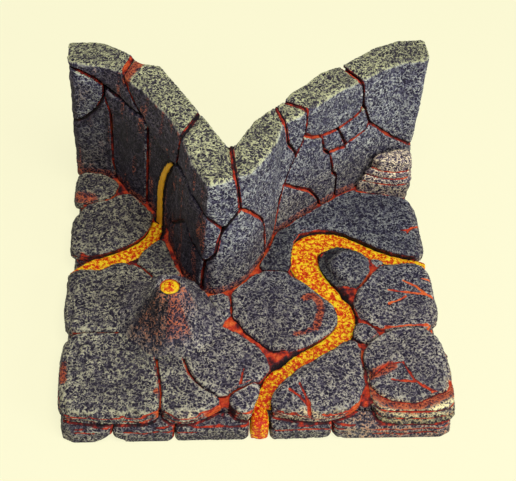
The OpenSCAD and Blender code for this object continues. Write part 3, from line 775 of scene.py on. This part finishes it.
def floor_stone(name):
    """A floor stone with worn edges, a chipped outer edge, cracks and brushed paint."""
    piece = Piece(name)
    piece.grow(LAVA, gap=0.4, most=1.4)
    piece.grow([n for n in FLOOR + WALL if n in others(name)], gap=0.8, most=1.2)
    twin = [JOINED[name]] if name in JOINED else []
    if twin:
        piece.grow(twin, gap=-0.5, most=2.0)
    points = piece.points
    sunk = points[:, 2].max() - points[:, 2]
    up = smoothstep(0.2, 0.7, piece.normals[:, 2])
    front = 0.35 + 0.65 * smoothstep(*FRONT_EDGE, points[:, 1])
    depth_in = inside_outer_face(points)
    outer = smoothstep(*OUTER_SIDE, depth_in) * (1 - up)
    seam = distance_to(points, others(name))
    lava = distance_to(points, LAVA)
    apart = smoothstep(2, 4, distance_to(points, twin))
    layered = smoothstep(4, 2, distance_to(points, LAYERED)) * (1 - up)
    relief = rock_relief(piece)
    lumps, ring = lumps_at(points)
    slope = disc_slope(name, points)
    cracks, crack_paint = crack_depths(points)
    jagged, chips, worn_line = edge_wear(points, sunk, front)
    grooves, groove_glow = layer_grooves(piece, SLAB_LAYERS)
    grooves *= outer

    bank = smoothstep(0.9, 2.0, sunk) * (1 - up) * (1 - outer) * (1 - 0.85 * layered)
    under = smoothstep(0.8, 0.3, seam) * outer
    # Red only on the edges that look to the light: painted light on the joints' red paint.
    lip = red_lip_lit_side(piece) * smoothstep(*LIP_FROM, depth_in) * smoothstep(2.5, 4, lava) * apart
    red_lines = strongest(crack_paint * up, worn_line, lip)
    ember = np.maximum(bank_paint_and_shade(piece, sunk, lava, under), 0.62 * red_lines)
    tan = strongest(outer, chips, layered) * smoothstep(*TAN_SIDES, points[:, 0]) * front
    # Each stone's tone, with painted shade on the stones by the wall and painted light on those at the back
    # left.
    tint = blend(floor_tint(points) * TONES_AND_SHADE.get(name, 1.0), TAN, tan)
    # The cone's dark reaches the stones round it: partly dark paint, partly painted shade.
    dark = cone_paint(points)[0]
    wall_blush = 0.35 * smoothstep(2.4, 0.8, distance_to(points, WALL))
    piece.paint(
        tint=tint * ((1 - 0.5 * dark) * (1 - 0.6 * slope))[:, None],
        relief=relief + 0.5 * (lumps > 0.1) - 0.6 * ring * (lumps < 0.1),
        rim=np.maximum(1.2 * piece.top_edge(0.9) * apart, 1.1 * band(jagged, 3.1, 0.8) * up * front),
        joint=strongest(bank, under, grooves, red_lines),
        ember=np.where(grooves > 0.3, groove_glow, ember),
        blush=np.maximum(strokes_at(points, BLUSHES), wall_blush) * up,
    )

    worn = EDGE_DROP * smoothstep(*WORN_EDGE, depth_in) + CHIP_DROP * chips + BANK_DROP * slope
    points[:, 2] -= worn * smoothstep(4, 1, sunk)
    piece.update()
    carved = cracks * up + 0.9 * grooves + 0.3 * worn_line
    swell = (swell_at(piece, 10, 0.4) + 0.4 * relief - 0.15) * smoothstep(*CALM, seam)
    piece.push(swell - carved + lumps * up)
    piece.finish(ROCK)


def wear_end(piece, below):
    """Round off the thin upper edge that hangs over the stone below it."""
    thin = smoothstep(3.5, 1.0, distance_to(piece.points, [below]))
    thin *= smoothstep(*WORN_END_FROM, piece.points[:, 2])
    piece.points += (piece.spread(piece.points, 40) - piece.points) * thin[:, None]
    piece.update()


def wall_tint(heights, top, left):
    """The wall's paint: blue high on its faces and plum low, olive on top, dark where it looks left. The
    blue faces and olive top are partly paint and partly the cool side light and warm key light painted in;
    the dark is partly dark paint, partly painted shade on faces turned from the light.
    """
    # Blue faces and an olive top: partly paint, partly the cool side light and the warm key light painted
    # in.
    face = blend(BLUE * 1.14, PLUM * 0.85, smoothstep(*PLUM_BELOW, heights))
    dark_and_shade = DARK_PAINT_AND_SHADE * (0.75 + 0.45 * smoothstep(*DARK_AND_SHADE_FADES, heights))[:, None]
    return blend(blend(face, OLIVE * 1.24, top), dark_and_shade, left)


def wall_stone(name):
    """A wall stone with painted joints, and a top that is paler than its face."""
    piece = Piece(name)
    piece.grow([n for n in WALL if n != name], gap=0.35, most=0.4)
    if name in WORN_ENDS:
        wear_end(piece, WORN_ENDS[name])
    points = piece.points
    heights = points[:, 2]
    seam = distance_to(points, others(name))
    up = smoothstep(0.3, 0.8, piece.normals[:, 2])
    on_left = name.startswith("wall_left")
    top = up * smoothstep(*(LEFT_TOPS if on_left else RIGHT_TOPS), heights)
    # Faces that look left, away from the light, take the dark: partly dark paint, partly painted shade.
    left = smoothstep(0.1, -0.4, piece.spread(piece.normals[:, 0], 12)) * (1 - top)
    relief = rock_relief(piece, 2.1)

    streaks = 0.28 * left * smoothstep(0.1, 0.4, noise_at(points * (3, 3, 0.6), 9, 23))
    bands = strokes_at(points, TOP_BANDS) * smoothstep(*BANDS_FROM, heights)
    foot = 0.4 * smoothstep(*FOOT_BLUSH, heights) * smoothstep(6, 3, distance_to(points, FLOOR))
    crest = piece.spread(up, 40) + 0.2 * noise_at(points, 3.5, 71)
    crest_line = band(crest, 0.5, 0.3) * smoothstep(*CREST_FROM, heights)
    ember = joint_paint_and_shade(piece, 0.52, 0.2) - 0.15 * smoothstep(0.6, 0.3, seam)
    # The whole left wall is darker and its joints duller: partly dark paint, partly painted shade.
    if on_left:
        left = np.maximum(left, up - top)
        ember -= 0.16 * (1 - top)
    piece.paint(
        tint=wall_tint(heights, top, left),
        relief=relief + 0.25 * top,
        rim=0.9 * crest_line * smoothstep(*RIM_FROM, seam),
        joint=smoothstep(1.4 - 0.3 * left, 0.8 - 0.2 * left, seam),
        # Less red on faces that look left: painted shade.
        ember=ember - 0.15 * left,
        blush=strongest(streaks, bands, foot),
    )

    close = 0.2 * smoothstep(0.55, 0.35, seam)
    groove = 0.5 * smoothstep(1.4, 0.6, seam) * smoothstep(0.35, 0.55, seam)
    shoulder = 0.8 * smoothstep(4.0, 0.8, seam) * smoothstep(*SHOULDER_FROM, heights)
    swell = (swell_at(piece, 12, 0.45) + 0.4 * relief - 0.15) * smoothstep(*CALM, seam)
    piece.push(swell + close - groove - shoulder * up)
    piece.finish(ROCK)


def footing_stone(name):
    """A footing stone with worn layers on its outer face and a red line along its top."""
    piece = Piece(name)
    points = piece.points
    seam = distance_to(points, others(name))
    relief = rock_relief(piece)
    right = smoothstep(*FOOT_WARM, points[:, 0])
    grooves, groove_glow = layer_grooves(piece, FOOT_LAYERS)
    grooves *= np.maximum(right, smoothstep(*FOOT_UPPER, points[:, 2]))
    height = points[:, 2] + 0.5 * noise_at(points, 6, 5)
    top_line = band(height, FOOT_LINE, 0.45) * smoothstep(-0.2, 0.2, noise_at(points, 6, 33))
    ember = np.maximum(joint_paint_and_shade(piece, 0.36), 0.52 * top_line)
    piece.paint(
        tint=blend(PLUM * 0.8, WARM * 1.25, right),
        relief=relief,
        rim=0.7 * band(height, FOOT_RIM, 0.7) * smoothstep(*RIM_FROM, seam),
        joint=strongest(smoothstep(1.2, 0.5, seam), grooves, top_line),
        ember=np.where(grooves > 0.3, groove_glow, ember),
        blush=0.25 * right,
    )
    above_table = smoothstep(0.2, 1.2, points[:, 2])
    swell = (swell_at(piece, 9, 0.35) + 0.4 * relief - 0.1) * smoothstep(*CALM, seam)
    piece.push((swell - 0.8 * grooves) * above_table)
    piece.finish(ROCK)


def layered_stone(name):
    """One thin, ragged layer of a layered stone, sandy in colour and paler along its upper edge."""
    piece = Piece(name)
    points = piece.points
    seam = distance_to(points, others(name))
    relief = rock_relief(piece)
    side = smoothstep(0.8, 0.3, np.abs(piece.normals[:, 2]))
    flat = points * (1, 1, 0.4)
    ragged = noise_at(flat, 5, piece.shift) + 0.6 * noise_at(flat, 2, 9)
    if name.startswith("ledge"):
        tint = LEDGE
        pale = 0.0
        blush = 0.05 + 0.1 * ragged
    else:
        tint = STRATA
        top = smoothstep(0.5, 0.9, piece.normals[:, 2])
        pale = 0.35 * top
        near_slab = smoothstep(5, 1, distance_to(points, ["slab_front_right"]))
        blush = 0.1 + 0.7 * top * near_slab + 0.15 * ragged
    piece.paint(
        tint=tint * TONES_AND_SHADE.get(name, 1.0),
        relief=relief + pale,
        rim=piece.top_edge(0.7),
        joint=smoothstep(0.3, 0.12, seam),
        ember=joint_paint_and_shade(piece, 0.56, 0.2),
        blush=blush,
    )
    swell = (swell_at(piece, 6, 0.3) + 0.3 * relief) * smoothstep(0.2, 1.0, seam)
    piece.push(swell + 0.8 * ragged * side)
    piece.finish(ROCK)


def volcano():
    """The cone: radial runnels, a skirt that sinks into the floor stones, and a reddened flank."""
    piece = Piece("volcano_cone")
    points = piece.points
    out, radius, around = around_cone(points, 0.25)
    runnels = noise_at(around, 2.4) + 0.5 * noise_at(around, 1.1, 9)
    above = smoothstep(*CONE_FOOT, points[:, 2])
    flank = smoothstep(*FLANK, radius) * above
    relief = rock_relief(piece)
    seam = distance_to(points, ["lava_vent"])
    dark, red, rust, streak = cone_paint(points)
    grey = PLUM * (1.0 + 0.3 * streak * flank)[:, None]
    to_front = smoothstep(0, 4, 0.5 * out[:, 0] - 0.85 * out[:, 1])
    piece.paint(
        # Darker on the front left: partly dark paint, partly painted shade.
        tint=blend(grey, WARM * 0.42, dark),
        relief=relief * (1 - 0.5 * dark),
        rim=0.5 * band(radius, CRATER_RIM, 1.4) * to_front,
        joint=smoothstep(0.4, 0.15, seam),
        ember=0.75,
        blush=strongest(0.45 * red, 0.34 * rust, 0.26 * dark),
    )
    points[:, 2] -= SKIRT_DROP * smoothstep(*SKIRT, radius) * above
    piece.update()
    lumpy = 0.7 * runnels + 0.4 * noise_at(points, 5)
    piece.push(lumpy * flank + 0.4 * relief * smoothstep(0.3, 1.2, seam))
    piece.finish(ROCK)


def bed():
    """The bed under the stones, heaped a little in the joints and painted dark and red."""
    piece = Piece("base_plinth", BED_VOXEL)
    points = piece.points
    up = smoothstep(0.3, 0.8, piece.normals[:, 2]) * (points[:, 2] > BED_TOP - 1)
    relief = rock_relief(piece)
    lava = distance_to(points, LAVA)
    ember = 0.54 + 0.3 * noise_at(points, 8, 17) + 0.3 * noise_at(points, 2.5, 18)
    ember += 0.12 * smoothstep(4, 1, distance_to(points, WALL))
    piece.paint(
        tint=PLUM * 0.9,
        relief=relief,
        rim=0.0,
        joint=up,
        ember=ember * smoothstep(0.5, 3, lava),
        blush=0.0,
    )
    heap = 3.2 + 0.6 * noise_at(points, 6) + 0.4 * relief
    points[:, 2] += heap * up * smoothstep(0.3, 2.0, lava)
    piece.update()
    back = (1 - up) * smoothstep(0.3, 1.2, points[:, 2])
    back *= smoothstep(0.3, 1.5, distance_to(points, FOOTING))
    piece.push((0.4 * noise_at(points, 8) + 0.35 * relief) * back)
    piece.finish(ROCK)


def lava_piece(name):
    """A run of lava with a lumpy skin, redder towards the front."""
    piece = Piece(name)
    if name.startswith("lava_stream"):
        piece.grow(FLOOR, gap=0.0, most=1.2, share=1.0)
    points = piece.points
    swell = 0.25 * noise_at(points, 2.4) + 0.15 * noise_at(points, 1.2, 5)
    edge = smoothstep(1.6, 0.6, distance_to(points, FLOOR + FOOTING + ["volcano_cone"]))
    redder = 0.05 * smoothstep(*LAVA_REDDER, points[:, 1])
    amber = 0.85 if name == "lava_trickle_wall" else 0.0
    piece.paint(tint=1.0, relief=0.1 * swell - redder, edge=edge, amber=amber)
    if name == "lava_trickle_wall":
        points[:, 2] -= TRICKLE_DROP * smoothstep(*TRICKLE_FOOT, points[:, 2])
    if name == "lava_fall_front":
        points[:, 1] += FALL_PULL * smoothstep(*FALL_BACK, points[:, 1])
        points[:, 2] += FALL_LIFT * smoothstep(*FALL_RISE, points[:, 1])
    piece.push(swell * smoothstep(0.2, 1.2, points[:, 2]))
    piece.finish(LAVA_PAINT)


for name in FLOOR:
    floor_stone(name)
for name in WALL:
    wall_stone(name)
for name in FOOTING:
    footing_stone(name)
for name in LAYERED:
    layered_stone(name)
for name in LAVA:
    lava_piece(name)
volcano()
bed()


def add_floor():
    """The pale floor that the part stands on."""
    corners = [(x * STAGE_HALF, y * STAGE_HALF, 0) for x, y in ((-1, -1), (1, -1), (1, 1), (-1, 1))]
    mesh = bpy.data.meshes.new("floor")
    mesh.from_pydata(corners, [], [(0, 1, 2, 3)])
    mesh.materials.append(stage_material())
    floor = bpy.data.objects.new("floor", mesh)
    scene.collection.objects.link(floor)


def add_lamp(name, place, size, watts, colour):
    """A square soft lamp at a place, turned to the part."""
    light = bpy.data.lights.new(name, "AREA")
    light.size = size
    light.energy = watts
    light.color = colour
    lamp = bpy.data.objects.new(name, light)
    lamp.location = place
    lamp.rotation_euler = (LAMPS_AIM - lamp.location).to_track_quat("-Z", "Y").to_euler()
    scene.collection.objects.link(lamp)


def add_sky():
    """A faint, even light from all round."""
    world = bpy.data.worlds.new("room")
    world.use_nodes = True
    sky = world.node_tree.nodes["Background"]
    sky.inputs["Color"].default_value = SKY_COLOUR
    sky.inputs["Strength"].default_value = SKY_STRENGTH
    scene.world = world


def add_camera():
    """The camera, in front of the part, above it and a little to the left."""
    lens = bpy.data.cameras.new("camera")
    lens.sensor_width = SENSOR
    lens.lens = LENS
    camera = bpy.data.objects.new("camera", lens)
    camera.location = CAMERA_AT
    camera.rotation_euler = [radians(a) for a in CAMERA_TURN]
    scene.collection.objects.link(camera)
    scene.camera = camera


add_floor()
for name, settings in LAMPS.items():
    add_lamp(name, *settings)
add_sky()
add_camera()
scene.view_settings.view_transform = "Standard"
